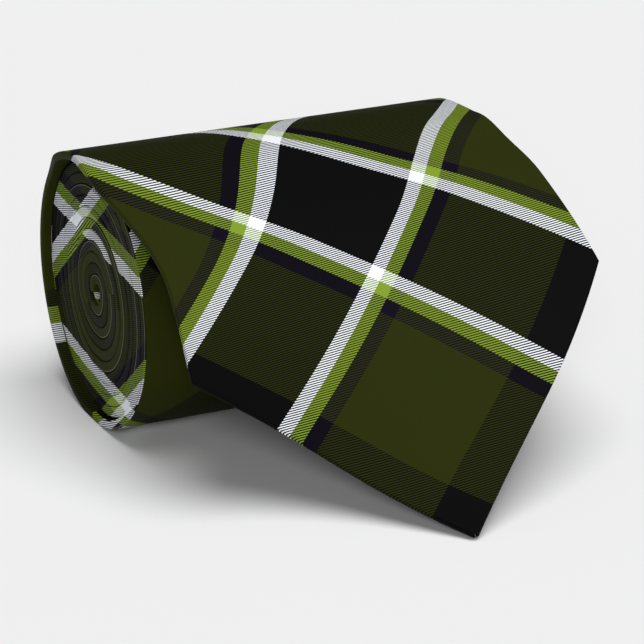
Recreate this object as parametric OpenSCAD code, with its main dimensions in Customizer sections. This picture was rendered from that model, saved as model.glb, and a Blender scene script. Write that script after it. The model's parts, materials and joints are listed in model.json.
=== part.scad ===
// Necktie, rolled up from its tail with the end of the blade lying free.
// The tie is a tube of bias-cut cloth folded round an interlining. One path runs
// from the blade's tip to the tail's tip, and every piece is swept along it, so
// the plies nest in the free blade and in the roll alike.

/* [Outline of the tie] */
// Full length, from the blade's tip to the tail's tip
tie_length = 1397; // [1250:1:1600]
// Widest width of the blade, across the corners of its point
blade_width = 101.6; // [75:0.1:115]
// Length of the blade's point
blade_point = 54; // [36:1:60]
// Width of the neck, the narrow middle of the tie
neck_width = 38; // [30:0.5:44]
// Widest width of the tail, across the corners of its point
tail_width = 50; // [44:0.5:60]
// Length of the tail's point
tail_point = 26; // [18:1:32]
// Distance from the blade's tip to where the neck's even width starts
neck_from = 840; // [780:5:880]
// Distance from the blade's tip to where the tail starts to widen
neck_to = 1020; // [960:5:1080]

/* [Cut pieces] */
// Length of the blade's cloth, up to its seam with the neck
blade_cut = 760; // [700:5:800]
// Length of the neck's cloth, between its two seams
neck_cut = 250; // [200:5:300]
// Distance from the blade's tip to the join between the two interlinings
interlining_cut = 900; // [860:5:940]
// Width of the gap that each seam's stitches fill
seam_gap = 0.4; // [0.3:0.05:0.8]

/* [Plies] */
// Thickness of the shell cloth
cloth = 0.3; // [0.2:0.05:0.4]
// Thickness of the interlining
interlining = 0.8; // [0.5:0.05:1.2]
// Thickness of the tipping, the lining behind each point
tipping = 0.15; // [0.1:0.05:0.25]
// Clearance between one ply and the next
ply_gap = 0.15; // [0.1:0.05:0.25]
// Width of the slit where the folded edges meet at the centre back
back_slit = 0.3; // [0.2:0.05:0.6]
// Width of the hem that is turned over the tipping
hem = 12; // [8:0.5:16]

/* [Roll] */
// Clearance between one turn of the roll and the next
turn_gap = 0.7; // [0.65:0.05:1.5]
// Radius of the tail's middle ply where it ends at the core
core_radius = 2.6; // [2.4:0.1:6]
// Distance that the outermost turn juts past the others at the back
jut = 2; // [0:0.5:5]
// Further distance that it juts where the free blade leaves it
jut_front = 4.5; // [0:0.5:6]

/* [Free blade] */
// Length of blade that hangs free of the roll
free_length = 120; // [112:1:140]
// Length over which the free blade bends down from the roll
bend_length = 24; // [20:1:40]
// Length at the tip that flattens out towards the table
landing_length = 40; // [20:1:50]
// Distance that the free blade drifts along the roll
drift = 8; // [0:0.5:12]
// Angle that the free blade twists by the time it reaches the tip
twist = 20.5; // [0:0.5:24]
// Angle that the free blade veers at first, before it turns back towards the tip
veer = 10.5; // [0:0.5:12]
// Half the gap that divides the free blade from the roll
hinge_gap = 0.15; // [0.15:0.05:0.3]

/* [Sewing] */
// Distance from the blade's tip to its bar tack
blade_tack_at = 106; // [100:1:110]
// Distance from the tail's tip to its bar tack
tail_tack_at = 62; // [50:1:80]
// Length of a bar tack across the tie
tack_length = 8; // [5:0.5:12]
// Thickness of the sewing thread
thread = 0.25; // [0.15:0.05:0.3]
// Width of a row of stitches
stitch_width = 0.6; // [0.4:0.1:1]

/* [Keeper, label and tag] */
// Distance from the blade's tip to the middle of the keeper loop
keeper_at = 212; // [200:1:240]
// Width of the keeper loop along the tie
keeper_width = 12; // [8:0.5:16]
// Length of the keeper loop across the tie
keeper_length = 56; // [50:1:64]
// Thickness of the keeper loop
keeper_cloth = 0.3; // [0.2:0.05:0.35]
// Distance from the blade's tip to the near edge of the label
label_at = 160; // [140:1:170]
// Width of the label along the tie
label_width = 20; // [14:1:24]
// Length of the label across the tie
label_length = 46; // [30:1:60]
// Thickness of the label and of the care tag
label_cloth = 0.15; // [0.1:0.05:0.2]
// Width of the care tag across the tie
tag_width = 18; // [12:1:24]
// Length of the care tag along the tie
tag_length = 16; // [12:1:20]

/* [Hidden] */

// Depths of the plies below the face of the tie
lining_top = cloth + ply_gap;
lining_end = lining_top + interlining;
tipping_top = lining_end + ply_gap;
tipping_end = tipping_top + tipping;
back_top = tipping_end + ply_gap;
tie_thickness = back_top + cloth;
half_slit = back_slit / 2;

// Ends of the swept pieces
blunt = 1.3;          // how far short of its tip each cloth stops
near_station = 0.25;  // stations closer than this to an end are skipped
free_step = 3;        // spacing of the stations along the free blade
columns = 4;          // panels across the width where the blade twists
taper_power = 1.6;    // how late the blade's taper sets in
settle = 0.02;        // height of the free blade's lowest point above the table
tack_run = 2;         // length of a bar tack along the tie
seam_inset = 1;       // how far seams stop short of the tie's edges
jut_length = 30;      // length of tie over which the outermost turn slants back in
jut_from = 150;       // turn at which it starts to fall in line with the others
jut_turn = 130;       // turn over which it does so
drift_length = 40;    // length over which the free blade drifts
twist_from = 8;       // distance past the roll's top where its twist starts
veer_length = 30;     // length over which it veers
veer_back = 1.36;     // how far it turns back, as a share of the veer
late_from = 20;       // where the free blade starts to steepen again after its bend
late_length = 81;     // length over which it steepens
late_share = 0.48;    // share of the slope that comes late
landing_share = 0.31; // share of the slope that is lost towards the tip
pitch = tie_thickness + turn_gap;
neck_cut_end = blade_cut + neck_cut;

function clamp01(t) = max(0, min(1, t));
function ease(t) = let (c = clamp01(t)) c * c * (3 - 2 * c);
function mix(p, q, t) = p + (q - p) * t;

// Half the width of the tie at a distance s from the blade's tip
function half_width(s) =
    s < blade_point ? blade_width / 2 * s / blade_point :
    s < neck_from ? mix(blade_width, neck_width,
        pow((s - blade_point) / (neck_from - blade_point), taper_power)) / 2 :
    s < neck_to ? neck_width / 2 :
    s < tie_length - tail_point ? mix(neck_width, tail_width,
        ease((s - neck_to) / (tie_length - tail_point - neck_to))) / 2 :
    tail_width / 2 * (tie_length - s) / tail_point;

// Half the opening between the folded edges at the back: it shows the tipping
// behind each point, and closes at the bar tack to the slit of the slip stitch
function opening(s, point, tack_at) =
    max(0, min(half_width(s) - hem, (blade_width / 2 - hem) * (tack_at - s) / (tack_at - point)));
function blade_opening(s) = opening(s, blade_point, blade_tack_at);
function tail_hem() = min(hem, tail_width / 4);
function tail_opening(s) = let (e = tie_length - s)
    max(0, min(half_width(s) - tail_hem(),
        (tail_width / 2 - tail_hem()) * (tail_tack_at - e) / (tail_tack_at - tail_point)));
function back_gap(s) = half_slit +
    (s < tie_length / 2 ? blade_opening(s) : tail_opening(s));

// The roll: a spiral with flat facets, one of them level at the bottom. Turn angles
// start at the top of the roll and run over its back.
facet = 18;
middle_radius = sqrt(core_radius * core_radius + pitch * (tie_length - free_length) / PI);
radius_loss = pitch / 360;
function turn_at(s) = (middle_radius
    - sqrt(max(0, pow(middle_radius, 2) - 2 * radius_loss * (s - free_length) * 180 / PI))) / radius_loss;
function length_at(turn) = free_length
    + turn * PI / 180 * (middle_radius - radius_loss * turn / 2);
function face_radius(turn) = middle_radius + tie_thickness / 2 - radius_loss * turn;
function flat_depth(turn, d) = (face_radius(180 + 360 * floor(turn / 360)) - d) * cos(facet / 2);
function is_level(turn) = abs(turn - 360 * floor(turn / 360) - 180) < facet;
roll_height = flat_depth(0, 0);
function corner(turn, d) = let (r = face_radius(turn) - d)
    [r * sin(turn), roll_height + (is_level(turn) ? -flat_depth(turn, d) : r * cos(turn))];
function jut_at(s) = (jut + jut_front * (1 - ease((s - free_length) / jut_length)))
    * (1 - ease((turn_at(s) - jut_from) / jut_turn));
function wound(s, a, d) = let (
        turn = turn_at(s),
        k = floor(turn / facet - 0.5),
        before = (k + 0.5) * facet,
        p = mix(corner(before, d), corner(before + facet, d), (turn - before) / facet))
    [half_width(s) + a - jut_at(s), p[0], p[1]];

// The free blade: it leaves the top of the roll, and its slope is found so that its
// lowest point just reaches the table
hinge_point = wound(free_length, 0, 0);
free_count = ceil(free_length / free_step);
function slope(u, steepest) = steepest * ease(u / bend_length)
    * (1 - late_share + late_share * ease((u - late_from) / late_length))
    * (1 - landing_share * ease((u - free_length + landing_length) / landing_length));
function profile(steepest) =
    [for (i = 0, y = hinge_point[1], z = hinge_point[2]; i <= free_count;
        y = y - free_step * cos(slope((i + 0.5) * free_step, steepest)),
        z = z - free_step * sin(slope((i + 0.5) * free_step, steepest)),
        i = i + 1) [y, z]];
function veer_at(u) = veer * ease(u / veer_length)
    * (1 - veer_back * ease((u - veer_length) / (free_length - veer_length)));
function free_frame(i, line, steepest) = let (
        u = i * free_step,
        t = slope(u, steepest),
        w = twist * max(0, u - twist_from) / (free_length - twist_from),
        v = veer_at(u),
        across = [cos(v), sin(v), 0],
        up = [sin(t) * sin(v), -sin(t) * cos(v), cos(t)])
    [[hinge_point[0] + drift * ease(u / drift_length), line[i][0], line[i][1]],
     cos(w) * across + sin(w) * up,
     cos(w) * up - sin(w) * across];
function free_frames(steepest) = let (line = profile(steepest))
    [for (i = [0 : free_count]) free_frame(i, line, steepest)];
function on_frames(frames, s, a, d) = let (
        u = (free_length - s) / free_step,
        i = max(0, min(free_count - 1, floor(u))),
        p = frames[i],
        q = frames[i + 1])
    mix(p[0] + a * p[1] - d * p[2], q[0] + a * q[1] - d * q[2], u - i);
function outline(frames) =
    [for (s = [blunt : free_step : free_length], side = [-1, 1], d = [0, tie_thickness])
        on_frames(frames, s, side * half_width(s), d)];
function lowest(steepest) =
    min([for (p = outline(free_frames(steepest))) p[2]]);
function find_slope(low, high, tries) = tries == 0 ? (low + high) / 2 :
    lowest((low + high) / 2) > settle
        ? find_slope((low + high) / 2, high, tries - 1)
        : find_slope(low, (low + high) / 2, tries - 1);
frames = free_frames(find_slope(10, 88, 24));

// The origin is under the middle of the whole tie, on the table
free_outline = outline(frames);
roll_left = min([for (k = [0 : 360 / facet], s = length_at((k + 0.5) * facet)) wound(s, -half_width(s), 0)[0]]);
tie_right = max([for (p = free_outline) p[0]]);
tie_front = min([for (p = free_outline) p[1]]);
tie_back = max([for (k = [0 : 360 / facet]) corner((k + 0.5) * facet, 0)[0]]);
origin = [(roll_left + tie_right) / 2, (tie_front + tie_back) / 2, 0];
function at(s, a, d) =
    (s < free_length ? on_frames(frames, s, a, d) : wound(s, a, d)) - origin;

// Stations along the tie: the ends of a piece and each facet's edge between them
facet_edges = [for (k = [0 : ceil(turn_at(tie_length - 0.01) / facet)]) length_at((k + 0.5) * facet)];
free_edges = [for (i = [free_count : -1 : 0]) free_length - i * free_step];
function stations(from, to) = concat(
    [from],
    [for (s = free_edges) if (s > from + near_station && s < min(to, free_length) - near_station) s],
    [for (s = facet_edges) if (s > max(from, free_length) + near_station && s < to - near_station) s],
    [to]);
function past(list) = [for (i = [1 : len(list) - 1]) list[i]];
function stations_by(from, bend, to) = concat(stations(from, bend), past(stations(bend, to)));

// Cross-sections, as points [across the tie, below its face]
function row(reach, count) = [for (k = [0 : count]) -reach + 2 * reach * k / count];
function turned(list) = [for (i = [len(list) - 1 : -1 : 0]) list[i]];
function shell_section(half, gap, count) = concat(
    [for (a = row(half, count)) [a, 0]],
    [[half, tie_thickness], [gap, tie_thickness], [gap, back_top], [half - cloth, back_top]],
    [for (a = turned(row(half - cloth, count))) [a, cloth]],
    [[-half + cloth, back_top], [-gap, back_top], [-gap, tie_thickness], [-half, tie_thickness]]);
function slab_section(left, right, top, bottom, count) = concat(
    [for (k = [0 : count]) [mix(left, right, k / count), top]],
    [for (k = [count : -1 : 0]) [mix(left, right, k / count), bottom]]);

// The same cross-sections as quads, which close the two ends of a sweep
function shell_quads(count) = concat(
    [for (k = [0 : count - 1]) [k, k + 1, 2 * count + 4 - k, 2 * count + 5 - k]],
    [[count, count + 1, count + 4, count + 5],
     [count + 1, count + 2, count + 3, count + 4],
     [2 * count + 9, 0, 2 * count + 5, 2 * count + 6],
     [2 * count + 8, 2 * count + 9, 2 * count + 6, 2 * count + 7]]);
function slab_quads(count) =
    [for (k = [0 : count - 1]) [k, k + 1, 2 * count - k, 2 * count + 1 - k]];
function halves(quad) = [[quad[0], quad[1], quad[2]], [quad[0], quad[2], quad[3]]];

// A solid swept through one cross-section at each station
module sweep(spots, sections, quads) {
    n = len(sections[0]);
    m = len(sections);
    polyhedron(
        points = [for (i = [0 : m - 1], p = sections[i]) at(spots[i], p[0], p[1])],
        faces = concat(
            [for (i = [0 : m - 2], j = [0 : n - 1]) each let (
                    a = i * n + j,
                    b = i * n + (j + 1) % n)
                halves([a, b, b + n, a + n])],
            [for (quad = quads) each halves(turned(quad))],
            [for (quad = quads) each halves([for (j = quad) (m - 1) * n + j])]));
}

module shell(spots, count) {
    sweep(spots, [for (s = spots) shell_section(half_width(s), back_gap(s), count)],
        shell_quads(count));
}

module slab(spots, inset, top, bottom, count) {
    sweep(spots, [for (s = spots)
        slab_section(inset - half_width(s), half_width(s) - inset, top, bottom, count)],
        slab_quads(count));
}

module strip(spots, left, right, top, bottom) {
    sweep(spots, [for (s = spots) slab_section(left, right, top, bottom, 1)], slab_quads(1));
}

// Plies that sit inside the shell keep clear of its folded edges
inner_inset = cloth + ply_gap;
inner_blunt = blunt + 2.5;
tipping_reach = blade_tack_at + 3;
tail_tipping_from = tie_length - tail_tack_at - 3;

module blade_shell_free() {
    color([0.17, 0.18, 0.06])
        shell(stations_by(blunt, blade_point, free_length - hinge_gap), columns);
}

module blade_interlining_free() {
    color([0.9, 0.88, 0.82])
        slab(stations_by(inner_blunt, blade_point, free_length - hinge_gap),
            inner_inset, lining_top, lining_end, columns);
}

module blade_tipping() {
    color([0.05, 0.05, 0.05])
        slab(stations_by(inner_blunt, blade_point, tipping_reach),
            inner_inset, tipping_top, tipping_end, columns);
}

// Two rows of hand stitches run round the opening, on the hem's folded edges
module edge_rows(spots) {
    for (side = [-1, 1])
        sweep(spots, [for (s = spots) let (a = side * (back_gap(s) + ply_gap + stitch_width / 2))
            slab_section(a - stitch_width / 2, a + stitch_width / 2,
                tie_thickness, tie_thickness + thread, 1)], slab_quads(1));
}

module blade_tipping_stitches() {
    color([0.1, 0.1, 0.08]) edge_rows(stations_by(hem + 4, blade_point, blade_tack_at - 4));
}

module bar_tack(spot) {
    strip([spot, spot + tack_run], -tack_length / 2, tack_length / 2,
        tie_thickness, tie_thickness + thread);
}

module blade_bar_tack() {
    color([0.45, 0.55, 0.2]) bar_tack(blade_tack_at);
}

module slip_stitch_free() {
    color([0.1, 0.1, 0.08])
        strip(stations(tipping_reach + 1, free_length - hinge_gap),
            -stitch_width / 2, stitch_width / 2, tipping_top, tipping_end);
}

module blade_shell_rolled() {
    color([0.17, 0.18, 0.06])
        shell(stations(free_length + hinge_gap, blade_cut - seam_gap / 2), 1);
}

module neck_shell() {
    color([0.15, 0.16, 0.06])
        shell(stations(blade_cut + seam_gap / 2, neck_cut_end - seam_gap / 2), 1);
}

module tail_shell() {
    color([0.17, 0.18, 0.06])
        shell(stations_by(neck_cut_end + seam_gap / 2, tie_length - tail_point, tie_length - blunt), 1);
}

module blade_interlining_rolled() {
    color([0.9, 0.88, 0.82])
        slab(stations(free_length + hinge_gap, interlining_cut - seam_gap / 2),
            inner_inset, lining_top, lining_end, 1);
}

module tail_interlining() {
    color([0.9, 0.88, 0.82])
        slab(stations_by(interlining_cut + seam_gap / 2, tie_length - tail_point, tie_length - inner_blunt),
            inner_inset, lining_top, lining_end, 1);
}

module interlining_join() {
    color([0.8, 0.78, 0.7])
        strip([interlining_cut - seam_gap / 2, interlining_cut + seam_gap / 2],
            seam_inset - neck_width / 2, neck_width / 2 - seam_inset, lining_top, lining_end);
}

module tail_tipping() {
    color([0.05, 0.05, 0.05])
        slab(stations_by(tail_tipping_from, tie_length - tail_point, tie_length - inner_blunt),
            inner_inset, tipping_top, tipping_end, 1);
}

module tail_tipping_stitches() {
    color([0.1, 0.1, 0.08])
        edge_rows(stations_by(tie_length - tail_tack_at + 4, tie_length - tail_point,
            tie_length - tail_hem() - 4));
}

module tail_bar_tack() {
    color([0.45, 0.55, 0.2]) bar_tack(tie_length - tail_tack_at - tack_run);
}

module slip_stitch_rolled() {
    color([0.1, 0.1, 0.08])
        strip(stations(free_length + hinge_gap, tail_tipping_from - 1),
            -stitch_width / 2, stitch_width / 2, tipping_top, tipping_end);
}

// A seam's stitches fill the gap between two cloths, within the cloth's thickness
module seam(spot) {
    half = half_width(spot) - seam_inset;
    color([0.1, 0.1, 0.08])
        strip([spot - seam_gap / 2, spot + seam_gap / 2], -half, half, 0, cloth);
}

module blade_neck_seam() {
    seam(blade_cut);
}

module neck_tail_seam() {
    seam(neck_cut_end);
}

// The keeper is a flat loop: its two ends are sewn to the back, and the tail slips
// between them
keeper_top = tie_thickness + ply_gap / 2;
keeper_end = keeper_top + keeper_cloth;
keeper_spots = stations(keeper_at - keeper_width / 2, keeper_at + keeper_width / 2);
keeper_seat = 3;   // length of each sewn end

module keeper_loop() {
    outer = keeper_length / 2;
    inner = outer - keeper_seat;
    color([0.17, 0.18, 0.06])
        sweep(keeper_spots, [for (s = keeper_spots) [
            [-outer, tie_thickness], [-inner, tie_thickness], [-inner, keeper_top],
            [inner, keeper_top], [inner, tie_thickness], [outer, tie_thickness],
            [outer, keeper_end], [-outer, keeper_end]]],
            [[0, 1, 2, 7], [2, 3, 6, 7], [3, 4, 5, 6]]);
}

module keeper_tacks() {
    spots = stations(keeper_at - keeper_width / 2 + 1, keeper_at + keeper_width / 2 - 1);
    color([0.45, 0.55, 0.2])
        for (side = [-1, 1])
            strip(spots,
                side * (keeper_length - keeper_seat) / 2 - stitch_width / 2,
                side * (keeper_length - keeper_seat) / 2 + stitch_width / 2,
                keeper_end, keeper_end + ply_gap);
}

// A plain woven label with nothing on it, and a plain care tag sewn in behind it
label_end = tie_thickness + label_cloth;

module blank_label() {
    color([0.08, 0.08, 0.08])
        strip(stations(label_at, label_at + label_width),
            -label_length / 2, label_length / 2, tie_thickness, label_end);
}

module label_stitches() {
    spots = stations(label_at + 1, label_at + label_width - 1);
    color([0.6, 0.6, 0.55])
        for (side = [-1, 1])
            strip(spots,
                side * (label_length / 2 - 1) - stitch_width / 2,
                side * (label_length / 2 - 1) + stitch_width / 2,
                label_end, label_end + ply_gap);
}

module care_tag() {
    color([0.92, 0.92, 0.9])
        strip(stations(label_at + label_width + 1, label_at + label_width + 1 + tag_length),
            -tag_width / 2, tag_width / 2, tie_thickness, label_end);
}

blade_shell_free();
blade_interlining_free();
blade_tipping();
blade_tipping_stitches();
blade_bar_tack();
slip_stitch_free();
blade_shell_rolled();
neck_shell();
tail_shell();
blade_interlining_rolled();
tail_interlining();
interlining_join();
tail_tipping();
tail_tipping_stitches();
tail_bar_tack();
slip_stitch_rolled();
blade_neck_seam();
neck_tail_seam();
keeper_loop();
keeper_tacks();
blank_label();
label_stitches();
care_tag();
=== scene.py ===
import json
import math

import bpy
import numpy as np
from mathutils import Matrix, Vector


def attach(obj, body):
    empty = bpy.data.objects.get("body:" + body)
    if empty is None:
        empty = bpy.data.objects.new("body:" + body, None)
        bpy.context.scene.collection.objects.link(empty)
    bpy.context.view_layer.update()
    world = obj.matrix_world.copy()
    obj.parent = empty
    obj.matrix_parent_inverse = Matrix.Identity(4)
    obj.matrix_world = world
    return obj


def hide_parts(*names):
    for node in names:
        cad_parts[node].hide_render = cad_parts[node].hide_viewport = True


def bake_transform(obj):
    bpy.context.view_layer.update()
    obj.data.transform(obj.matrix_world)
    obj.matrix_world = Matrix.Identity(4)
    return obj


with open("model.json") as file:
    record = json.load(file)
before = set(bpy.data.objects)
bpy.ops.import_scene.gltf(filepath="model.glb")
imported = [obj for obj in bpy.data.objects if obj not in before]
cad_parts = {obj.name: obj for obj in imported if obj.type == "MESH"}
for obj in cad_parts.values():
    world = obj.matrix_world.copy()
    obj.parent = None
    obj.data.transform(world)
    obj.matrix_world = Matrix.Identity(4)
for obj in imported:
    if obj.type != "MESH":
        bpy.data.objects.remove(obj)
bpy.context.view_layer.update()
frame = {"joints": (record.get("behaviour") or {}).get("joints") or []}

# ---------------------------------------------------------------- blade shell
# The blade's shell is one bias-cut piece of silk twill, folded round the
# interlining so that its two long edges meet at the centre back. Towards the
# point the edges part and turn in as a hem, which leaves the tipping showing.
MM = 0.001
TIE_LENGTH = 1397 * MM
BLADE_WIDTH, BLADE_POINT = 101.6 * MM, 54 * MM
NECK_WIDTH, NECK_FROM, NECK_TO = 38 * MM, 840 * MM, 1020 * MM
TAIL_WIDTH, TAIL_POINT = 50 * MM, 26 * MM
BLADE_TACK_AT, TAIL_TACK_AT = 106 * MM, 62 * MM
HEM = 12 * MM
CLOTH = 0.32 * MM
FLAT_PLY = 2.0 * MM     # thickness of the folded tie where it is pressed flat
FULL_PLY = 2.62 * MM    # thickness that it puffs up to inside the roll
PUFF_FROM = 225 * MM    # beyond the label and the keeper
EDGE = 1.0 * MM         # how far in from its edge the fold is rounded
BLUNT = 0.9 * MM        # how far short of the very tip the cloth's fold reaches


def ease(t):
    t = np.clip(t, 0, 1)
    return t * t * (3 - 2 * t)


def half_width(s):
    s = np.asarray(s, float)
    taper = np.clip((s - BLADE_POINT) / (NECK_FROM - BLADE_POINT), 0, 1) ** 1.6
    spread = ease((s - NECK_TO) / (TIE_LENGTH - TAIL_POINT - NECK_TO))
    width = BLADE_WIDTH + (NECK_WIDTH - BLADE_WIDTH) * taper + (TAIL_WIDTH - NECK_WIDTH) * spread
    points = np.minimum(s / BLADE_POINT, (TIE_LENGTH - s) / TAIL_POINT)
    return width / 2 * np.clip(points, 0, 1)


def back_gap(s):
    """Half the opening between the folded edges at the back."""
    from_tail = TIE_LENGTH - s
    blade = np.minimum(half_width(s) - HEM, (BLADE_WIDTH / 2 - HEM)
                       * (BLADE_TACK_AT - s) / (BLADE_TACK_AT - BLADE_POINT))
    tail = np.minimum(half_width(s) - HEM, (TAIL_WIDTH / 2 - HEM)
                      * (TAIL_TACK_AT - from_tail) / (TAIL_TACK_AT - TAIL_POINT))
    return 0.15 * MM + np.maximum(0, np.where(s < TIE_LENGTH / 2, blade, tail))


def ply(s):
    return FLAT_PLY + (FULL_PLY - FLAT_PLY) * ease((s - PUFF_FROM) / (25 * MM))


# The roll is a spiral round its axis. It starts at the top, where the free blade
# leaves it, and runs over the back. The left edges of its turns lie flush, but the
# outermost turn juts out past them.
FREE_LENGTH = 120 * MM
PITCH = 2.7 * MM
CORE = 2.6 * MM
LEVEL = math.cos(math.radians(9))
JUT, JUT_FRONT, JUT_LENGTH = 2 * MM, 4.5 * MM, 30 * MM
hinge = Vector(frame["joints"][0]["pos_m"])
middle_radius = math.sqrt(CORE ** 2 + PITCH * (TIE_LENGTH - FREE_LENGTH) / math.pi)
face_radius = middle_radius + FLAT_PLY / 2
axis_z = (face_radius - PITCH / 2) * LEVEL
flush_x = hinge.x - float(half_width(FREE_LENGTH)) + JUT + JUT_FRONT


def turn_at(s):
    """How far round the spiral a point of the tie is, in radians."""
    loss = PITCH / (2 * math.pi)
    return (middle_radius - np.sqrt(np.maximum(0, middle_radius ** 2 - 2 * loss * (s - FREE_LENGTH)))) / loss


def wound(s, a, d):
    """Points of the rolled tie: a across it and d below its face."""
    turn = turn_at(s)
    r = face_radius - PITCH * turn / (2 * math.pi) - d
    seat = (face_radius - PITCH * (np.floor(turn / (2 * math.pi)) + 0.5) - d) * LEVEL
    up = np.maximum(r * np.cos(turn), -np.maximum(seat, 0))
    jut = ((JUT + JUT_FRONT * (1 - ease((s - FREE_LENGTH) / JUT_LENGTH)))
           * (1 - ease((np.degrees(turn) - 150) / 130)))
    wander = 0.12 * MM * (np.sin(turn * 0.83 + 0.6) + np.sin(turn * 2.1 + 2)) * ease(turn - 5)
    return np.stack([flush_x + half_width(s) + a - jut + wander, hinge.y + r * np.sin(turn), axis_z + up], -1)


# The free blade bends down off the roll, drifts, veers and twists as it goes, and
# flattens out where its tip lies on the table. Its slope is found from where it lands.
BEND, LATE_FROM, LATE_LENGTH, LANDING = 24 * MM, 20 * MM, 81 * MM, 40 * MM
LATE_SHARE, LANDING_SHARE = 0.48, 0.31
DRIFT, DRIFT_LENGTH = 8 * MM, 40 * MM
TWIST, TWIST_FROM = math.radians(20.5), 8 * MM
VEER, VEER_LENGTH, VEER_BACK = math.radians(10.5), 30 * MM, 1.36
RESTS_AT = 0.05 * MM
line_u = np.linspace(0, FREE_LENGTH, 481)


def slope(u, steepest):
    return (steepest * ease(u / BEND) * (1 - LATE_SHARE + LATE_SHARE * ease((u - LATE_FROM) / LATE_LENGTH))
            * (1 - LANDING_SHARE * ease((u - FREE_LENGTH + LANDING) / LANDING)))


def hanging(s, a, d, steepest):
    """Points of the free blade, for the slope that it has where it is steepest."""
    lean = slope((line_u[1:] + line_u[:-1]) / 2, steepest)
    step = line_u[1]
    line_y = hinge.y - np.concatenate([[0], np.cumsum(np.cos(lean))]) * step
    line_z = axis_z + face_radius - np.concatenate([[0], np.cumsum(np.sin(lean))]) * step
    u = FREE_LENGTH - s
    lean = slope(u, steepest)
    turn = TWIST * np.maximum(0, u - TWIST_FROM) / (FREE_LENGTH - TWIST_FROM)
    turned_back = VEER_BACK * ease((u - VEER_LENGTH) / (FREE_LENGTH - VEER_LENGTH))
    veer = VEER * ease(u / VEER_LENGTH) * (1 - turned_back)
    middle = np.stack([hinge.x + DRIFT * ease(u / DRIFT_LENGTH),
                       np.interp(u, line_u, line_y), np.interp(u, line_u, line_z)], -1)
    level = np.stack([np.cos(veer), np.sin(veer), 0 * veer], -1)
    raised = np.stack([np.sin(lean) * np.sin(veer), -np.sin(lean) * np.cos(veer), np.cos(lean)], -1)
    across = np.cos(turn)[..., None] * level + np.sin(turn)[..., None] * raised
    up = np.cos(turn)[..., None] * raised - np.sin(turn)[..., None] * level
    return middle + a[..., None] * across - d[..., None] * up


low, high = math.radians(15), math.radians(85)
rim_s = np.linspace(BLUNT, FREE_LENGTH, 60)[:, None] * np.ones((1, 2))
rim_a = half_width(rim_s) * np.array([[-1, 1]])
for _ in range(30):
    steepest = (low + high) / 2
    if hanging(rim_s, rim_a, 0 * rim_s + FLAT_PLY, steepest)[..., 2].min() > RESTS_AT:
        low = steepest
    else:
        high = steepest


TUCK, TUCK_AT, TUCK_LENGTH, TUCK_WIDTH = 2.6 * MM, 122 * MM, 17 * MM, 14 * MM
BOW, BOW_AT, BOW_LENGTH = 1.8 * MM, 113 * MM, 26 * MM


def place(s, a, d):
    """Points of the tie. Its left edge is tucked in where it goes over the roll's top, and
    its right edge, cut on the bias, bows out."""
    s, a, d = np.broadcast_arrays(s, a, d)
    near = ease(1 - np.abs(s - TUCK_AT) / TUCK_LENGTH)
    a = a + TUCK * near * ease((TUCK_WIDTH - half_width(s) - a) / TUCK_WIDTH)
    a = a + BOW * ease(1 - np.abs(s - BOW_AT) / BOW_LENGTH) * ease(2 * a / half_width(s) - 1)
    free = hanging(np.minimum(s, FREE_LENGTH), a, d, steepest)
    return np.where((s < FREE_LENGTH)[..., None], free, wound(np.maximum(s, FREE_LENGTH), a, d))


def swept(name, s, outer, inner, ahead=0.0):
    """A closed solid between two rows of points at each station s. A point is its place
    across the tie, its depth below the face, its place across the flat cloth, and how far
    round the left fold it is. ahead shifts the flat cloth along the tie. turn counts the
    turns of the roll."""
    count, k = len(s), outer.shape[1]
    ring = np.concatenate([outer, inner[:, ::-1]], 1)
    n = 2 * k
    at = place(s[:, None], ring[..., 0], ring[..., 1]).reshape(-1, 3)
    i, j = np.meshgrid(np.arange(count - 1), np.arange(n), indexing="ij")
    a, b = i * n + j, i * n + (j + 1) % n
    sides = np.stack([a, a + n, b + n, b], -1).reshape(-1, 4)
    e = np.arange(k - 1)
    near = np.stack([e, e + 1, n - 2 - e, n - 1 - e], -1)
    far = (near + (count - 1) * n)[:, ::-1]
    mesh = bpy.data.meshes.new(name)
    mesh.from_pydata(at.tolist(), [], np.concatenate([sides, near, far]).tolist())
    flat = np.stack([ring[..., 2], np.repeat(s[:, None] + ahead, n, 1), ring[..., 1]], -1)
    mesh.attributes.new("flat_cloth", "FLOAT_VECTOR", "POINT").data.foreach_set(
        "vector", flat.astype(np.float32).ravel())
    mesh.attributes.new("left_fold", "FLOAT", "POINT").data.foreach_set(
        "value", ring[..., 3].astype(np.float32).ravel())
    turn = turn_at(np.repeat(s[:, None], n, 1)) / (2 * math.pi)
    mesh.attributes.new("turn", "FLOAT", "POINT").data.foreach_set("value", turn.astype(np.float32).ravel())
    mesh.polygons.foreach_set("use_smooth", [True] * len(mesh.polygons))
    mesh.set_sharp_from_angle(angle=math.radians(48))
    mesh.update()
    piece = bpy.data.objects.new(name, mesh)
    bpy.context.scene.collection.objects.link(piece)
    return piece


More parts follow.
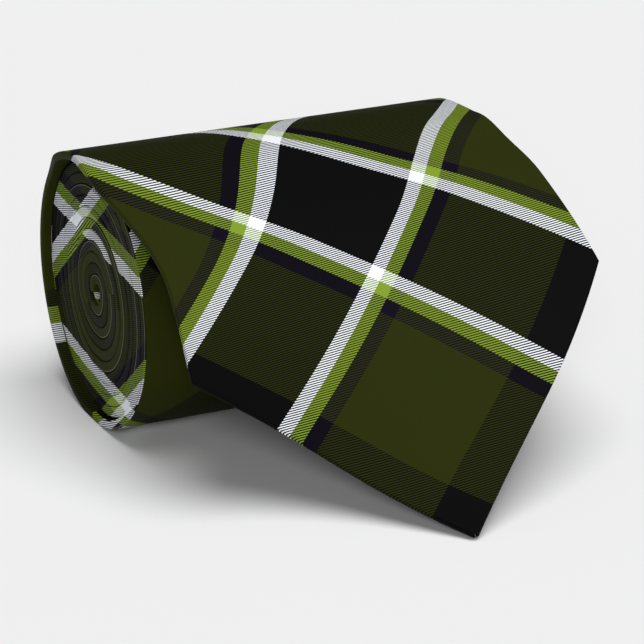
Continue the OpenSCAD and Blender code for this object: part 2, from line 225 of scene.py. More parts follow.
def folded(s, fronts, backs):
    """The shell's two faces where it wraps round the plies: front, rounded edges and back."""
    h, g = half_width(s)[:, None], back_gap(s)[:, None]
    edge = np.minimum(EDGE, h * 0.9)
    g = np.minimum(g, h - edge)
    depth = (ply(s)[:, None] - CLOTH) / 2
    t = np.linspace(0, math.pi, 13)[None, :]
    square = 0.6 - 0.38 * ease((s - FREE_LENGTH) / (20 * MM))[:, None]
    front = np.linspace(0, 1, fronts + 1)[None, :-1] * (h - edge)
    bend = h - edge + (edge - CLOTH / 2) * np.maximum(np.sin(t), 0) ** square
    back = (h - edge) + (g - (h - edge)) * np.linspace(0, 1, backs + 1)[None, 1:]
    a = np.concatenate([front, bend, back], 1)
    d = np.concatenate([0 * front, depth * (1 - np.sign(np.cos(t)) * np.abs(np.cos(t)) ** square),
                        2 * depth + 0 * back], 1) + CLOTH / 2
    fold = np.concatenate([0 * front, t / math.pi + 0 * h, 1 + 0 * back], 1)
    v = np.concatenate([0 * h, np.cumsum(np.hypot(np.diff(a, axis=1), np.diff(d, axis=1)), 1)], 1)
    fold = np.concatenate([fold[:, :0:-1], 0 * fold], 1)
    a = np.concatenate([-a[:, :0:-1], a], 1)
    d = np.concatenate([d[:, :0:-1], d], 1)
    v = np.concatenate([-v[:, :0:-1], v], 1)
    da, dd = np.gradient(a, axis=1), np.gradient(d, axis=1)
    size = np.hypot(da, dd) + 1e-12
    na, nd = dd / size * CLOTH / 2, -da / size * CLOTH / 2
    return np.stack([a + na, d + nd, v, fold], -1), np.stack([a - na, d - nd, v, fold], -1)


def spaced(start, end, step):
    return np.linspace(start, end, max(2, int(round((end - start) / step)) + 1))


half_turn = FREE_LENGTH + math.pi * (middle_radius - PITCH / 4)
blade_s = np.concatenate([spaced(BLUNT, BLADE_POINT, 1.5 * MM)[:-1],
                          spaced(BLADE_POINT, FREE_LENGTH, 1.5 * MM)[:-1],
                          spaced(FREE_LENGTH, half_turn, 1.3 * MM)])
give = -5 * MM * ease((blade_s - 95 * MM) / (36 * MM))[:, None]      # bias stretch over the roll's top
blade = swept("blade_shell_cloth", blade_s, *folded(blade_s, 16, 10), give)
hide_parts("blade_shell_free")

# The cloth is a symmetrical tartan in a two-and-two twill, the same sett in warp and
# weft, laid on the bias so that its stripes run parallel to the point's two edges.
YARN = 0.2 * MM
RIDGE = 4 * YARN      # one ridge of the twill, along the sett
SETT = [("olive", 14.6), ("purple", 3.48), ("green", 3.39), ("white", 3.44), ("black", 27.65),
        ("white", 3.44), ("green", 3.39), ("purple", 3.48), ("olive", 29.2), ("black", 13.8)]
YARNS = {"olive": (0.0225, 0.0272, 0.0028), "purple": (0.0050, 0.0030, 0.0100),
         "green": (0.215, 0.315, 0.028), "white": (0.86, 0.89, 0.94), "black": (0.0026, 0.0026, 0.0028)}
SETT_HALF = sum(width for _, width in SETT) * MM
BLACK_MIDDLE = (sum(width for _, width in SETT[:4]) + SETT[4][1] / 2) * MM
WARP_AT_TIP, WEFT_AT_TIP = 64.2 * MM, 62.3 * MM


def add(tree, kind, **sockets):
    made = tree.nodes.new("ShaderNode" + kind)
    for name, value in sockets.items():
        key = int(name[1:]) if name[0] == "i" and name[1:].isdigit() else name.replace("_", " ")
        if isinstance(value, bpy.types.NodeSocket):
            tree.links.new(value, made.inputs[key])
        else:
            made.inputs[key].default_value = value
    return made


def calc(tree, operation, a, b=None, c=None):
    made = tree.nodes.new("ShaderNodeMath")
    made.operation = operation
    for socket, value in zip(made.inputs, (a, b, c)):
        if isinstance(value, bpy.types.NodeSocket):
            tree.links.new(value, socket)
        elif value is not None:
            socket.default_value = value
    return made.outputs[0]


def blended(tree, factor, a, b, way="MIX"):
    made = tree.nodes.new("ShaderNodeMix")
    made.data_type = "RGBA"
    made.blend_type = way
    for socket, value in zip((made.inputs[0], made.inputs[6], made.inputs[7]), (factor, a, b)):
        if isinstance(value, bpy.types.NodeSocket):
            tree.links.new(value, socket)
        else:
            socket.default_value = value
    return made.outputs[2]


def new_group(name, takes, gives):
    group = bpy.data.node_groups.new(name, "ShaderNodeTree")
    for label, kind, value in takes:
        socket = group.interface.new_socket(label, in_out="INPUT", socket_type="NodeSocket" + kind)
        socket.default_value = value
    for label, kind in gives:
        group.interface.new_socket(label, in_out="OUTPUT", socket_type="NodeSocket" + kind)
    return group, group.nodes.new("NodeGroupInput"), group.nodes.new("NodeGroupOutput")


def placed(tree, group, **sockets):
    made = tree.nodes.new("ShaderNodeGroup")
    made.node_tree = group
    for name, value in sockets.items():
        key = name.replace("_", " ")
        if isinstance(value, bpy.types.NodeSocket):
            tree.links.new(value, made.inputs[key])
        else:
            made.inputs[key].default_value = value
    return made


def new_material(name, **sockets):
    made = bpy.data.materials.new(name)
    made.use_nodes = True
    shader = made.node_tree.nodes["Principled BSDF"]
    for key, value in sockets.items():
        shader.inputs[key.replace("_", " ")].default_value = value
    return made, made.node_tree, shader


def carried(tree, attribute):
    """A value that the mesh carries for each of its points."""
    made = tree.nodes.new("ShaderNodeAttribute")
    made.attribute_name = attribute
    return made


def embossed(tree, shader, height, strength, depth):
    bump = add(tree, "Bump", Strength=strength, Distance=depth, Height=height)
    tree.links.new(bump.outputs[0], shader.inputs["Normal"])


# Which yarn colour lies at a distance along the sett
sett_group, takes, gives = new_group("Sett of the tartan", [("Distance", "Float", 0.0)], [("Color", "Color")])
there_and_back = calc(sett_group, "PINGPONG", takes.outputs[0], SETT_HALF)
ramp = sett_group.nodes.new("ShaderNodeValToRGB")
ramp.color_ramp.interpolation = "CONSTANT"
start = 0
for index, (yarn, width) in enumerate(SETT):
    spot = start * MM / SETT_HALF
    stop = ramp.color_ramp.elements[0] if index == 0 else ramp.color_ramp.elements.new(spot)
    stop.position = spot
    stop.color = (*YARNS[yarn], 1)
    start += width
ramp.color_ramp.elements.remove(ramp.color_ramp.elements[-1])
sett_group.links.new(calc(sett_group, "DIVIDE", there_and_back, SETT_HALF), ramp.inputs[0])
sett_group.links.new(ramp.outputs[0], gives.inputs[0])

# The woven cloth: warp and weft take turns on the face along the twill's ridges. On the
# folded edges inside the roll, the turns' patterns fall in line with one another.
twill, takes, gives = new_group(
    "Tartan twill",
    [("Wander", "Float", 0.05 * MM), ("Rim", "Float", 0.0),
     ("Rim warp", "Float", 0.0), ("Rim weft", "Float", 0.0)],
    [("Color", "Color"), ("Height", "Float"), ("Roughness", "Float")])
flat = carried(twill, "flat_cloth")
parts = add(twill, "SeparateXYZ", i0=flat.outputs["Vector"])
slub = add(twill, "TexNoise", Vector=flat.outputs["Vector"], Scale=260.0, Detail=2.0, Roughness=0.5)
drift = calc(twill, "MULTIPLY", calc(twill, "SUBTRACT", slub.outputs[0], 0.5), takes.outputs["Wander"])
across = calc(twill, "ADD", parts.outputs[0], drift)
along = parts.outputs[1]
bias = math.sqrt(0.5)
warp = calc(twill, "MULTIPLY_ADD", calc(twill, "SUBTRACT", across, along), bias, WARP_AT_TIP + BLACK_MIDDLE)
weft = calc(twill, "MULTIPLY_ADD", calc(twill, "ADD", across, along), -bias, WEFT_AT_TIP + BLACK_MIDDLE)
on_rim = takes.outputs["Rim"]
warp = calc(twill, "MULTIPLY_ADD", calc(twill, "SUBTRACT", takes.outputs["Rim warp"], warp), on_rim, warp)
weft = calc(twill, "MULTIPLY_ADD", calc(twill, "SUBTRACT", takes.outputs["Rim weft"], weft), on_rim, weft)
warp_color = placed(twill, sett_group, Distance=warp).outputs[0]
weft_color = placed(twill, sett_group, Distance=weft).outputs[0]
ridge = calc(twill, "FRACT", calc(twill, "DIVIDE", calc(twill, "ADD", warp, weft), RIDGE))
warp_up = calc(twill, "LESS_THAN", ridge, 0.5)
woven = blended(twill, warp_up, weft_color, warp_color)
half_ridge = calc(twill, "FRACT", calc(twill, "MULTIPLY", ridge, 2.0))
round_yarn = calc(twill, "SINE", calc(twill, "MULTIPLY", half_ridge, math.pi))
# Painted shade across each rounded yarn: darker towards its edges. The noise below varies the tone at random.
shade = calc(twill, "MULTIPLY_ADD", round_yarn, 0.12, 0.90)
uneven = add(twill, "TexNoise", Vector=flat.outputs["Vector"], Scale=38.0, Detail=3.0, Roughness=0.55)
shade = calc(twill, "MULTIPLY", shade, calc(twill, "MULTIPLY_ADD", uneven.outputs[0], 0.12, 0.94))
gray = add(twill, "CombineXYZ", i0=shade, i1=shade, i2=shade)
twill.links.new(blended(twill, 1.0, woven, gray.outputs[0], "MULTIPLY"), gives.inputs["Color"])
float_run = calc(twill, "SUBTRACT", calc(twill, "MULTIPLY", warp, warp_up),
                 calc(twill, "MULTIPLY", weft, calc(twill, "SUBTRACT", 1.0, warp_up)))
float_end = calc(twill, "DIVIDE", calc(twill, "PINGPONG", float_run, YARN), YARN)
twill.links.new(calc(twill, "MULTIPLY_ADD", float_end, 0.25, round_yarn), gives.inputs["Height"])
twill.links.new(calc(twill, "MULTIPLY_ADD", uneven.outputs[0], 0.16, 0.52), gives.inputs["Roughness"])


# How the sett lies over the roll's end: its shares of the way towards the back and the
# top, and its place at the roll's axis. RIM_ is for the outermost turn.
END_WARP = (0.05483, -0.91592, 35.8 * MM)
END_WEFT = (-0.61521, -0.76686, -5.2 * MM)
RIM_WARP = (-0.27226, -0.73792, 15.9 * MM)
FOLD_FROM, FOLD_TO = 0.10, 0.985
RING = 2.6                    # turns from one ring of the roll's end to the next; the first turn of each ring has a painted highlight along its fold
OLIVE_SHARE = 0.6             # share of each inner ring where plain olive lies outwards
INNERMOST = 10.5              # turn from which the cloth is all olive
# Colour of the painted highlight: a thin light line along a turn's left fold, where it would catch the light.
FOLD_HIGHLIGHT_COLOR = (0.15, 0.16, 0.12, 1)


def tartan(name, in_roll):
    """The shell's cloth. in_roll is for the cloth whose left folds lie pressed together in
    the end of the roll; otherwise they are the outermost turn's."""
    made, tree, shader = new_material(name, Specular_IOR_Level=0.025, Sheen_Weight=0.004, Sheen_Roughness=0.5)
    cloth = placed(tree, twill)
    round_fold = carried(tree, "left_fold").outputs["Fac"]
    turns = carried(tree, "turn").outputs["Fac"]
    spot = add(tree, "SeparateXYZ", i0=tree.nodes.new("ShaderNodeTexCoord").outputs["Object"])
    back = calc(tree, "SUBTRACT", spot.outputs[1], hinge.y)
    up = calc(tree, "SUBTRACT", spot.outputs[2], axis_z)

    def across_end(lie):
        """Distance along the sett over the roll's end, from its lie towards back and top."""
        return calc(tree, "MULTIPLY_ADD", back, lie[0], calc(tree, "MULTIPLY_ADD", up, lie[1], lie[2]))

    on_fold = calc(tree, "MULTIPLY", calc(tree, "GREATER_THAN", round_fold, FOLD_FROM),
                   calc(tree, "LESS_THAN", round_fold, FOLD_TO))
    ring = calc(tree, "FRACT", calc(tree, "MULTIPLY_ADD", turns, 1 / RING, 1.0))
    if in_roll:
        rim_warp, rim_weft = across_end(END_WARP), across_end(END_WEFT)
        plain = calc(tree, "MULTIPLY", calc(tree, "LESS_THAN", ring, OLIVE_SHARE),
                     calc(tree, "GREATER_THAN", turns, 2 * RING))
        rim_warp = calc(tree, "MULTIPLY", rim_warp, calc(tree, "SUBTRACT", 1.0, plain))
        on_fold = calc(tree, "MAXIMUM", on_fold, calc(tree, "GREATER_THAN", turns, INNERMOST))
    else:
        rim_warp = across_end(RIM_WARP)
        rim_weft = calc(tree, "FLOORED_MODULO", calc(tree, "SUBTRACT", rim_warp, RIM_WARP[2]), 10 * RIDGE)
        jutting = calc(tree, "MULTIPLY", calc(tree, "LESS_THAN", spot.outputs[0], flush_x + 0.3 * MM),
                       calc(tree, "GREATER_THAN", turns, 0.02))
        on_fold = calc(tree, "MULTIPLY", calc(tree, "GREATER_THAN", round_fold, FOLD_FROM), jutting)
    tree.links.new(on_fold, cloth.inputs["Rim"])
    tree.links.new(rim_warp, cloth.inputs["Rim warp"])
    tree.links.new(rim_weft, cloth.inputs["Rim weft"])
    # A painted highlight: a thin light line along the left fold of the first turn of each ring, where the
    # rounded fold would catch the light.
    highlighted_turn = calc(tree, "MULTIPLY", calc(tree, "LESS_THAN", ring, 1 / RING),
                        calc(tree, "GREATER_THAN", turns, 0.5))
    painted_fold_highlight = calc(tree, "MULTIPLY", calc(tree, "COMPARE", round_fold, 0.36, 0.05), highlighted_turn)
    color = blended(tree, calc(tree, "MULTIPLY", painted_fold_highlight, 0.8), cloth.outputs["Color"], FOLD_HIGHLIGHT_COLOR)
    tree.links.new(color, shader.inputs["Base Color"])
    tree.links.new(cloth.outputs["Roughness"], shader.inputs["Roughness"])
    embossed(tree, shader, cloth.outputs["Height"], 0.3, 0.05 * MM)
    return made


blade.data.materials.append(tartan("Tartan silk twill", False))
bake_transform(blade)

# ---------------------------------------------------------------- rolled shells
# The rest of the blade, the neck and the tail are wound turn on turn. The neck and
# the tail are separate cuts of the same cloth, sewn on end to end.
AHEAD = 28.4 * MM      # how far the rolled cloth's pattern lies further on than the blade's
SEAM = 0.2 * MM        # half the gap that each seam's stitches fill
BLADE_CUT, NECK_CUT_END = 760 * MM, 1010 * MM
LOSS = PITCH / (2 * math.pi)
rolled_material = tartan("Tartan silk twill, rolled", True)


def rolled(start, end, degrees=5):
    """Stations along the roll, one to so many degrees of turn."""
    count = max(2, int((turn_at(end) - turn_at(start)) / math.radians(degrees)) + 1)
    turns = np.linspace(turn_at(start), turn_at(end), count)
    return FREE_LENGTH + turns * (middle_radius - LOSS * turns / 2)


def rolled_shell(name, node, s):
    piece = swept(name, s, *folded(s, 5, 3), AHEAD)
    piece.data.materials.append(rolled_material)
    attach(piece, "roll")
    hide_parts(node)
    return piece


rolled_shell("rolled_blade_cloth", "blade_shell_rolled", rolled(half_turn, BLADE_CUT - SEAM))
rolled_shell("neck_cloth", "neck_shell", rolled(BLADE_CUT + SEAM, NECK_CUT_END - SEAM))
tail_s = np.concatenate([rolled(NECK_CUT_END + SEAM, TIE_LENGTH - TAIL_POINT)[:-1],
                         rolled(TIE_LENGTH - TAIL_POINT, TIE_LENGTH - BLUNT)])
rolled_shell("tail_cloth", "tail_shell", tail_s)

# ---------------------------------------------------------------- interlining
# A strip of brushed wool felt fills the folded shell and gives the tie its body. It is
# two pieces, joined end to end in the neck. It stops just short of both tips.
INSET = 0.45 * MM
INNER_BLUNT = 3.8 * MM
LINING_CUT = 900 * MM
LINING_TOP = 0.37 * MM      # depth of the interlining's face
LINING_CLEAR = 0.33 * MM    # between its back and the folded shell's back ply
TIPPING_GAP, TIPPING = 0.05 * MM, 0.17 * MM


def slab(name, s, columns, top, bottom, inset=INSET, ahead=0.0):
    """A ply that fills the shell's width, between two depths below the face."""
    reach = np.maximum(half_width(s) - inset, 0.1 * MM)[:, None]
    a = reach * np.linspace(-1, 1, columns + 1)[None, :]
    rows = [np.stack([a, np.broadcast_to(np.reshape(depth, (-1, 1)), a.shape), a, 0 * a], -1)
            for depth in (top, bottom)]
    return swept(name, s, *rows, ahead)


def plies(s):
    """Depths of the interlining's two faces and of the tipping's."""
    lining_end = ply(s) - CLOTH - LINING_CLEAR
    tipping_top = lining_end + TIPPING_GAP
    return LINING_TOP + 0 * s, lining_end, tipping_top, tipping_top + TIPPING


felt, tree, shader = new_material("Brushed wool felt", Roughness=0.95, Specular_IOR_Level=0.1,
                                  Sheen_Weight=0.15)
flat = carried(tree, "flat_cloth")
nap = add(tree, "TexNoise", Vector=flat.outputs["Vector"], Scale=900.0, Detail=6.0, Roughness=0.7)
cloudy = add(tree, "TexNoise", Vector=flat.outputs["Vector"], Scale=60.0, Detail=2.0)
tone = blended(tree, nap.outputs[0], (0.60, 0.57, 0.48, 1), (0.80, 0.77, 0.69, 1))
tone = blended(tree, calc(tree, "MULTIPLY", cloudy.outputs[0], 0.3), tone, (0.66, 0.62, 0.53, 1))
tree.links.new(tone, shader.inputs["Base Color"])
embossed(tree, shader, nap.outputs[0], 0.5, 0.15 * MM)


def lining(name, node, s, columns):
    top, bottom = plies(s)[:2]
    piece = slab(name, s, columns, top, bottom)
    piece.data.materials.append(felt)
    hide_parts(node)
    return piece


inner_s = np.concatenate([spaced(INNER_BLUNT, BLADE_POINT, 2 * MM)[:-1],
                          spaced(BLADE_POINT, FREE_LENGTH, 2 * MM)[:-1],
                          rolled(FREE_LENGTH, half_turn)])
blade_lining = lining("blade_lining", "blade_interlining_free", inner_s, 12)
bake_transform(blade_lining)
roll_lining_s = rolled(half_turn, LINING_CUT - SEAM)
roll_lining = lining("rolled_blade_lining", "blade_interlining_rolled", roll_lining_s, 6)
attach(roll_lining, "roll")
tail_lining_s = np.concatenate([rolled(LINING_CUT + SEAM, TIE_LENGTH - TAIL_POINT)[:-1],
                                rolled(TIE_LENGTH - TAIL_POINT, TIE_LENGTH - INNER_BLUNT)])
tail_lining = lining("tail_lining", "tail_interlining", tail_lining_s, 6)
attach(tail_lining, "roll")

# ---------------------------------------------------------------- threads
# Sewing thread is twisted from fine strands. Every stitch below is a short round length
# of it, laid along the path that the needle took.
thread_group, takes, gives = new_group(
    "Twisted thread", [("Color", "Color", (0.02, 0.022, 0.01, 1))], [("Color", "Color"), ("Height", "Float")])
strand = carried(thread_group, "flat_cloth")
parts = add(thread_group, "SeparateXYZ", i0=strand.outputs["Vector"])
lay = calc(thread_group, "ADD", calc(thread_group, "DIVIDE", parts.outputs[0], 0.35 * MM), parts.outputs[1])
groove = calc(thread_group, "SINE", calc(thread_group, "MULTIPLY", lay, 4 * math.pi))
# Painted shade: the thread is darker down in the grooves of its twist.
painted_groove_shade = calc(thread_group, "MULTIPLY_ADD", groove, 0.18, 0.82)
gray = add(thread_group, "CombineXYZ", i0=painted_groove_shade, i1=painted_groove_shade, i2=painted_groove_shade)
twisted_color = blended(thread_group, 1.0, takes.outputs[0], gray.outputs[0], "MULTIPLY")
thread_group.links.new(twisted_color, gives.inputs[0])
thread_group.links.new(groove, gives.inputs[1])


def thread_material(name, color):
    made, tree, shader = new_material(name, Roughness=0.55, Specular_IOR_Level=0.2)
    twisted = placed(tree, thread_group, Color=color)
    tree.links.new(twisted.outputs[0], shader.inputs["Base Color"])
    embossed(tree, shader, twisted.outputs[1], 0.5, 0.04 * MM)
    return made


olive_thread = thread_material("Dark olive thread", (0.030, 0.034, 0.012, 1))
lime_thread = thread_material("Lime green thread", (0.23, 0.34, 0.04, 1))


THREAD_SIDES = 6


def stitches(name, node, runs, radius, material, body=None):
    """Round threads along runs of (s, a, d) points. Without a body, they bend with the blade."""
    verts, faces, lay = [], [], []
    n = THREAD_SIDES
    ring = np.linspace(0, 2 * math.pi, n, endpoint=False)
    for run in runs:
        run = np.asarray(run, float)
        path = place(run[:, 0], run[:, 1], run[:, 2])
        along = np.gradient(path, axis=0)
        along /= np.linalg.norm(along, axis=1)[:, None] + 1e-12
        side = np.cross(along, (0.3, 0.2, 0.93))
        side /= np.linalg.norm(side, axis=1)[:, None] + 1e-12
        lift = np.cross(side, along)
        base = len(verts)
        length = np.concatenate([[0], np.cumsum(np.linalg.norm(np.diff(path, axis=0), axis=1))])
        for i in range(len(path)):
            for k, angle in enumerate(ring):
                verts.append(path[i] + radius * (math.cos(angle) * side[i] + math.sin(angle) * lift[i]))
                lay.append((length[i], k / n, 0))
        for i in range(len(path) - 1):
            for k in range(n):
                p, q = base + i * n + k, base + i * n + (k + 1) % n
                faces.append((p, q, q + n, p + n))
        faces.append(tuple(base + k for k in reversed(range(n))))
        faces.append(tuple(base + (len(path) - 1) * n + k for k in range(n)))
    mesh = bpy.data.meshes.new(name)
    mesh.from_pydata([tuple(v) for v in verts], [], faces)
    mesh.attributes.new("flat_cloth", "FLOAT_VECTOR", "POINT").data.foreach_set(
        "vector", np.array(lay, np.float32).ravel())
    mesh.polygons.foreach_set("use_smooth", [True] * len(mesh.polygons))
    mesh.materials.append(material)
    mesh.update()
    piece = bpy.data.objects.new(name, mesh)
    bpy.context.scene.collection.objects.link(piece)
    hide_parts(node)
    if body:
        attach(piece, body)
    else:
        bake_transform(piece)
    return piece


def joining(name, node, spot, half, top, bottom, material):
    """A row of short stitches across the tie that joins two cloths end to end."""
    runs = []
    for a in np.arange(-half, half, 1.6 * MM):
        runs.append([(spot - 0.15 * MM, a, bottom), (spot - 0.1 * MM, a + 0.2 * MM, top),
                     (spot + 0.1 * MM, a + 0.9 * MM, top), (spot + 0.15 * MM, a + 1.1 * MM, bottom)])
    return stitches(name, node, runs, 0.1 * MM, material, "roll")


# The two interlinings are joined by a row of stitches across the neck.
joining("lining_join", "interlining_join", LINING_CUT, NECK_WIDTH / 2 - 1 * MM, 0.5 * MM, 1.5 * MM,
        lime_thread)

# ---------------------------------------------------------------- tippings
# The lining behind each point is black satin. It shows in the opening between the
# hems, and reaches a little past each bar tack.
satin, tree, shader = new_material("Black satin", Roughness=0.34, Specular_IOR_Level=0.35, Anisotropic=0.4)
flat = carried(tree, "flat_cloth")
stretched = add(tree, "VectorMath", i0=flat.outputs["Vector"], i1=(500.0, 9000.0, 1.0))
stretched.operation = "MULTIPLY"
floats = add(tree, "TexNoise", Vector=stretched.outputs[0], Scale=1.0, Detail=2.0)
tree.links.new(blended(tree, floats.outputs[0], (0.004, 0.004, 0.0045, 1), (0.011, 0.011, 0.012, 1)),
               shader.inputs["Base Color"])
tree.links.new(calc(tree, "MULTIPLY_ADD", floats.outputs[0], 0.2, 0.28), shader.inputs["Roughness"])
embossed(tree, shader, floats.outputs[0], 0.15, 0.03 * MM)


def tip_lining(name, node, s, columns):
    piece = slab(name, s, columns, *plies(s)[2:])
    piece.data.materials.append(satin)
    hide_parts(node)
    return piece


blade_tip_s = np.concatenate([spaced(INNER_BLUNT, BLADE_POINT, 2 * MM)[:-1],
                              spaced(BLADE_POINT, BLADE_TACK_AT + 3 * MM, 2 * MM)])
blade_tip = tip_lining("blade_tipping_satin", "blade_tipping", blade_tip_s, 12)
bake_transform(blade_tip)
tail_tip_s = np.concatenate([rolled(TIE_LENGTH - TAIL_TACK_AT - 3 * MM, TIE_LENGTH - TAIL_POINT)[:-1],
                             rolled(TIE_LENGTH - TAIL_POINT, TIE_LENGTH - INNER_BLUNT)])
tail_tip = tip_lining("tail_tipping_satin", "tail_tipping", tail_tip_s, 6)
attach(tail_tip, "roll")

# ---------------------------------------------------------------- hem stitches
# Small slanting hand stitches catch each hem's folded edge to the tipping.
def hem_stitches(name, node, start, end, body=None):
    runs = []
    for side in (-1, 1):
        for s in np.arange(start, end, 3.0 * MM):
            edge = float(back_gap(s))
            back = float(ply(s))
            low_d = float(plies(np.array([s]))[2][0])
            runs.append([(s, side * (edge - 0.5 * MM), low_d + 0.15 * MM),
                         (s + 0.3 * MM, side * (edge - 0.1 * MM), back + 0.02 * MM),
                         (s + 0.8 * MM, side * (edge + 0.5 * MM), back + 0.09 * MM),
                         (s + 1.1 * MM, side * (edge + 0.9 * MM), back - 0.06 * MM)])
    return stitches(name, node, runs, 0.11 * MM, olive_thread, body)


hem_stitches("blade_hem_stitches", "blade_tipping_stitches", HEM + 4 * MM, BLADE_TACK_AT - 4 * MM)
hem_stitches("tail_hem_stitches", "tail_tipping_stitches", TIE_LENGTH - TAIL_TACK_AT + 4 * MM,
             TIE_LENGTH - HEM - 4 * MM, "roll")

# ---------------------------------------------------------------- bar tacks
# A dense bar of lime green thread closes the back of each end across its seam.
def bar_tack(name, node, spot, body=None):
    back = float(ply(spot))
    runs = []
    for step in range(8):
        s = spot + step * 0.26 * MM
        a = np.linspace(-4, 4, 9) * MM
        runs.append(np.stack([s + 0 * a + 0.05 * MM * np.sin(step + a / MM), a,
                              back + 0.1 * MM * (1 - (a / (4 * MM)) ** 6) + 0 * a], -1))
    return stitches(name, node, runs, 0.13 * MM, lime_thread, body)


bar_tack("blade_bar_tack_thread", "blade_bar_tack", BLADE_TACK_AT)
bar_tack("tail_bar_tack_thread", "tail_bar_tack", TIE_LENGTH - TAIL_TACK_AT - 2 * MM, "roll")

# ---------------------------------------------------------------- slip stitch
# One long thread zigzags between the two folded edges all down the back, loose enough
# to let the tie stretch. A turn of it lies every 8 mm.
def slip_stitch(name, node, start, end, body=None):
    s = np.arange(start, end, 1.0 * MM)
    wave = np.sin(s / (8 * MM) * 2 * math.pi)
    depth = ply(s) - CLOTH * 0.7 + 0 * s
    run = np.stack([s, 0.5 * MM * np.clip(wave * 2.5, -1, 1), depth], -1)
    return stitches(name, node, [run], 0.1 * MM, olive_thread, body)


slip_stitch("slip_stitch_blade", "slip_stitch_free", BLADE_TACK_AT + 4 * MM, half_turn)
slip_stitch("slip_stitch_roll", "slip_stitch_rolled", half_turn, TIE_LENGTH - TAIL_TACK_AT - 4 * MM, "roll")

# ---------------------------------------------------------------- seams
# The three cuts of shell cloth are sewn end to end at both ends of the neck.
for name, node, spot in (("blade_neck_stitches", "blade_neck_seam", BLADE_CUT),
                         ("neck_tail_stitches", "neck_tail_seam", NECK_CUT_END)):
    joining(name, node, spot, float(half_width(spot)) - 1 * MM, 0.08 * MM, 0.3 * MM, olive_thread)

# ---------------------------------------------------------------- keeper loop
# A flat tube of the shell cloth lies across the back, sewn down at both ends, so that
# the tail can be slipped through it when the tie is worn.
KEEPER_AT, KEEPER_WIDTH, KEEPER_HALF = 212 * MM, 12 * MM, 28 * MM
CUT_ASIDE = 31 * MM     # how far aside on the flat cloth a patch is cut from


def patch(name, node, s, half, rise, thick, material):
    """A flat piece laid on the tie's back, raised off it by rise(across)."""
    a = np.linspace(-half, half, 29)[None, :] * np.ones((len(s), 1))
    top = ply(s)[:, None] + rise(a / half)
    flat_at = a + CUT_ASIDE
    piece = swept(name, s, np.stack([a, top, flat_at, 0 * a], -1),
                  np.stack([a, top + thick, flat_at, 0 * a], -1))
    piece.data.materials.append(material)
    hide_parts(node)
    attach(piece, "roll")
    return piece


keeper_s = rolled(KEEPER_AT - KEEPER_WIDTH / 2, KEEPER_AT + KEEPER_WIDTH / 2, 1.5)
patch("keeper_cloth", "keeper_loop", keeper_s, KEEPER_HALF, lambda t: 0.02 * MM + 0.1 * MM * (1 - t ** 8),
      0.3 * MM, rolled_material)
tacks = []
for side in (-1, 1):
    for lean in (-1, 1):
        a = side * (KEEPER_HALF - 1.5 * MM)
        back = FLAT_PLY + 0.42 * MM
        tacks.append([(KEEPER_AT - 3 * MM, a - lean * 0.8 * MM, back), (KEEPER_AT, a, back + 0.05 * MM),
                      (KEEPER_AT + 3 * MM, a + lean * 0.8 * MM, back)])
stitches("keeper_tack_threads", "keeper_tacks", tacks, 0.1 * MM, lime_thread, "roll")

# ---------------------------------------------------------------- label
# A plain black woven label with nothing on it, stitched on at both ends.
LABEL_AT, LABEL_WIDTH, LABEL_HALF = 160 * MM, 20 * MM, 23 * MM
label_cloth, tree, shader = new_material("Black woven label", Roughness=0.5, Specular_IOR_Level=0.3)
flat = carried(tree, "flat_cloth")
ribs = add(tree, "TexWave", Vector=flat.outputs["Vector"], Scale=450.0, Distortion=0.4)
ribs.bands_direction = "Y"
# Painted shade: the ribs are darker in the hollows between them.
tree.links.new(blended(tree, ribs.outputs[1], (0.006, 0.006, 0.006, 1), (0.02, 0.02, 0.02, 1)),
               shader.inputs["Base Color"])
embossed(tree, shader, ribs.outputs[1], 0.3, 0.04 * MM)
label_s = rolled(LABEL_AT, LABEL_AT + LABEL_WIDTH, 1.5)
patch("plain_label", "blank_label", label_s, LABEL_HALF, lambda t: 0.02 * MM + 0 * t, 0.15 * MM,
      label_cloth)
rows = []
for side in (-1, 1):
    for s in np.arange(LABEL_AT + 1 * MM, LABEL_AT + LABEL_WIDTH - 2 * MM, 2.2 * MM):
        a = side * (LABEL_HALF - 1 * MM)
        back = FLAT_PLY + 0.2 * MM
        rows.append([(s, a, back - 0.1 * MM), (s + 0.3 * MM, a, back + 0.04 * MM),
                     (s + 1.2 * MM, a, back + 0.04 * MM), (s + 1.5 * MM, a, back - 0.1 * MM)])
stitches("plain_label_stitches", "label_stitches", rows, 0.09 * MM, olive_thread, "roll")

# ---------------------------------------------------------------- care tag
# A plain white satin tape with nothing on it, sewn in behind the label.
TAG_HALF, TAG_LENGTH = 9 * MM, 16 * MM
tape, tree, shader = new_material("White satin tape", Roughness=0.4, Specular_IOR_Level=0.35)
flat = carried(tree, "flat_cloth")
ribs = add(tree, "TexWave", Vector=flat.outputs["Vector"], Scale=600.0, Distortion=0.3)
# Painted shade: the ribs are darker in the hollows between them.
tree.links.new(blended(tree, ribs.outputs[1], (0.74, 0.74, 0.71, 1), (0.86, 0.86, 0.84, 1)),
               shader.inputs["Base Color"])
embossed(tree, shader, ribs.outputs[1], 0.2, 0.03 * MM)
tag_from = LABEL_AT + LABEL_WIDTH + 1 * MM
patch("plain_care_tag", "care_tag", rolled(tag_from, tag_from + TAG_LENGTH, 1.5), TAG_HALF,
      lambda t: 0.02 * MM + 0 * t, 0.15 * MM, tape)

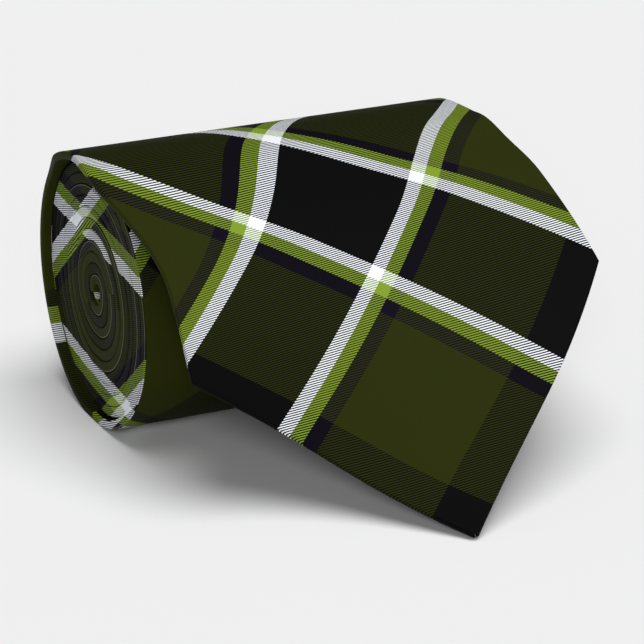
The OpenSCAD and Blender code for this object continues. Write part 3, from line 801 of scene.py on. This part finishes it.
# ---------------------------------------------------------------- floor, light and camera
# A plain pale floor under a broad light from overhead, with a softer fill from the
# camera's side. The room glows faintly, and looks bright only to the camera.
floor_mesh = bpy.data.meshes.new("floor")
floor_mesh.from_pydata([(-8, -8, 0), (8, -8, 0), (8, 8, 0), (-8, 8, 0)], [], [(0, 1, 2, 3)])
floor = bpy.data.objects.new("floor", floor_mesh)
bpy.context.scene.collection.objects.link(floor)
floor_material, tree, shader = new_material("Pale floor", Base_Color=(0.83, 0.83, 0.835, 1), Roughness=1.0,
                                            Specular_IOR_Level=0.0)
floor_mesh.materials.append(floor_material)

bpy.context.scene.view_settings.view_transform = "Standard"
world = bpy.data.worlds.new("Studio")
bpy.context.scene.world = world
world.use_nodes = True
world.node_tree.nodes["Background"].inputs[0].default_value = (1, 1, 1, 1)
ROOM_GLOW, BACKDROP_GLOW = 0.10, 0.78
seen = world.node_tree.nodes.new("ShaderNodeLightPath").outputs["Is Camera Ray"]
world.node_tree.links.new(calc(world.node_tree, "MULTIPLY_ADD", seen, BACKDROP_GLOW, ROOM_GLOW),
                          world.node_tree.nodes["Background"].inputs[1])
HEADING = math.radians(-24.472)     # which way the camera looks, seen from above
LOOKS_DOWN = math.radians(22.064)
for name, strength, spread, tilt, lean in (("overhead", 2.55, 48, 8, 9), ("front_fill", 1.1, 20, 64, 0)):
    lamp_data = bpy.data.lights.new(name, "SUN")
    lamp_data.energy = strength
    lamp_data.angle = math.radians(spread)
    lamp = bpy.data.objects.new(name, lamp_data)
    lamp.rotation_euler = (math.radians(tilt), math.radians(lean), HEADING)
    bpy.context.scene.collection.objects.link(lamp)

camera_data = bpy.data.cameras.new("camera")
camera_data.lens = 167.76
camera_data.sensor_width = 36
camera_data.clip_start = 0.05
camera = bpy.data.objects.new("camera", camera_data)
bpy.context.scene.collection.objects.link(camera)
camera.location = (flush_x - 0.22435, hinge.y - 0.62188, 0.29205)
camera.rotation_euler = (math.radians(90) - LOOKS_DOWN, 0, HEADING)
bpy.context.scene.camera = camera
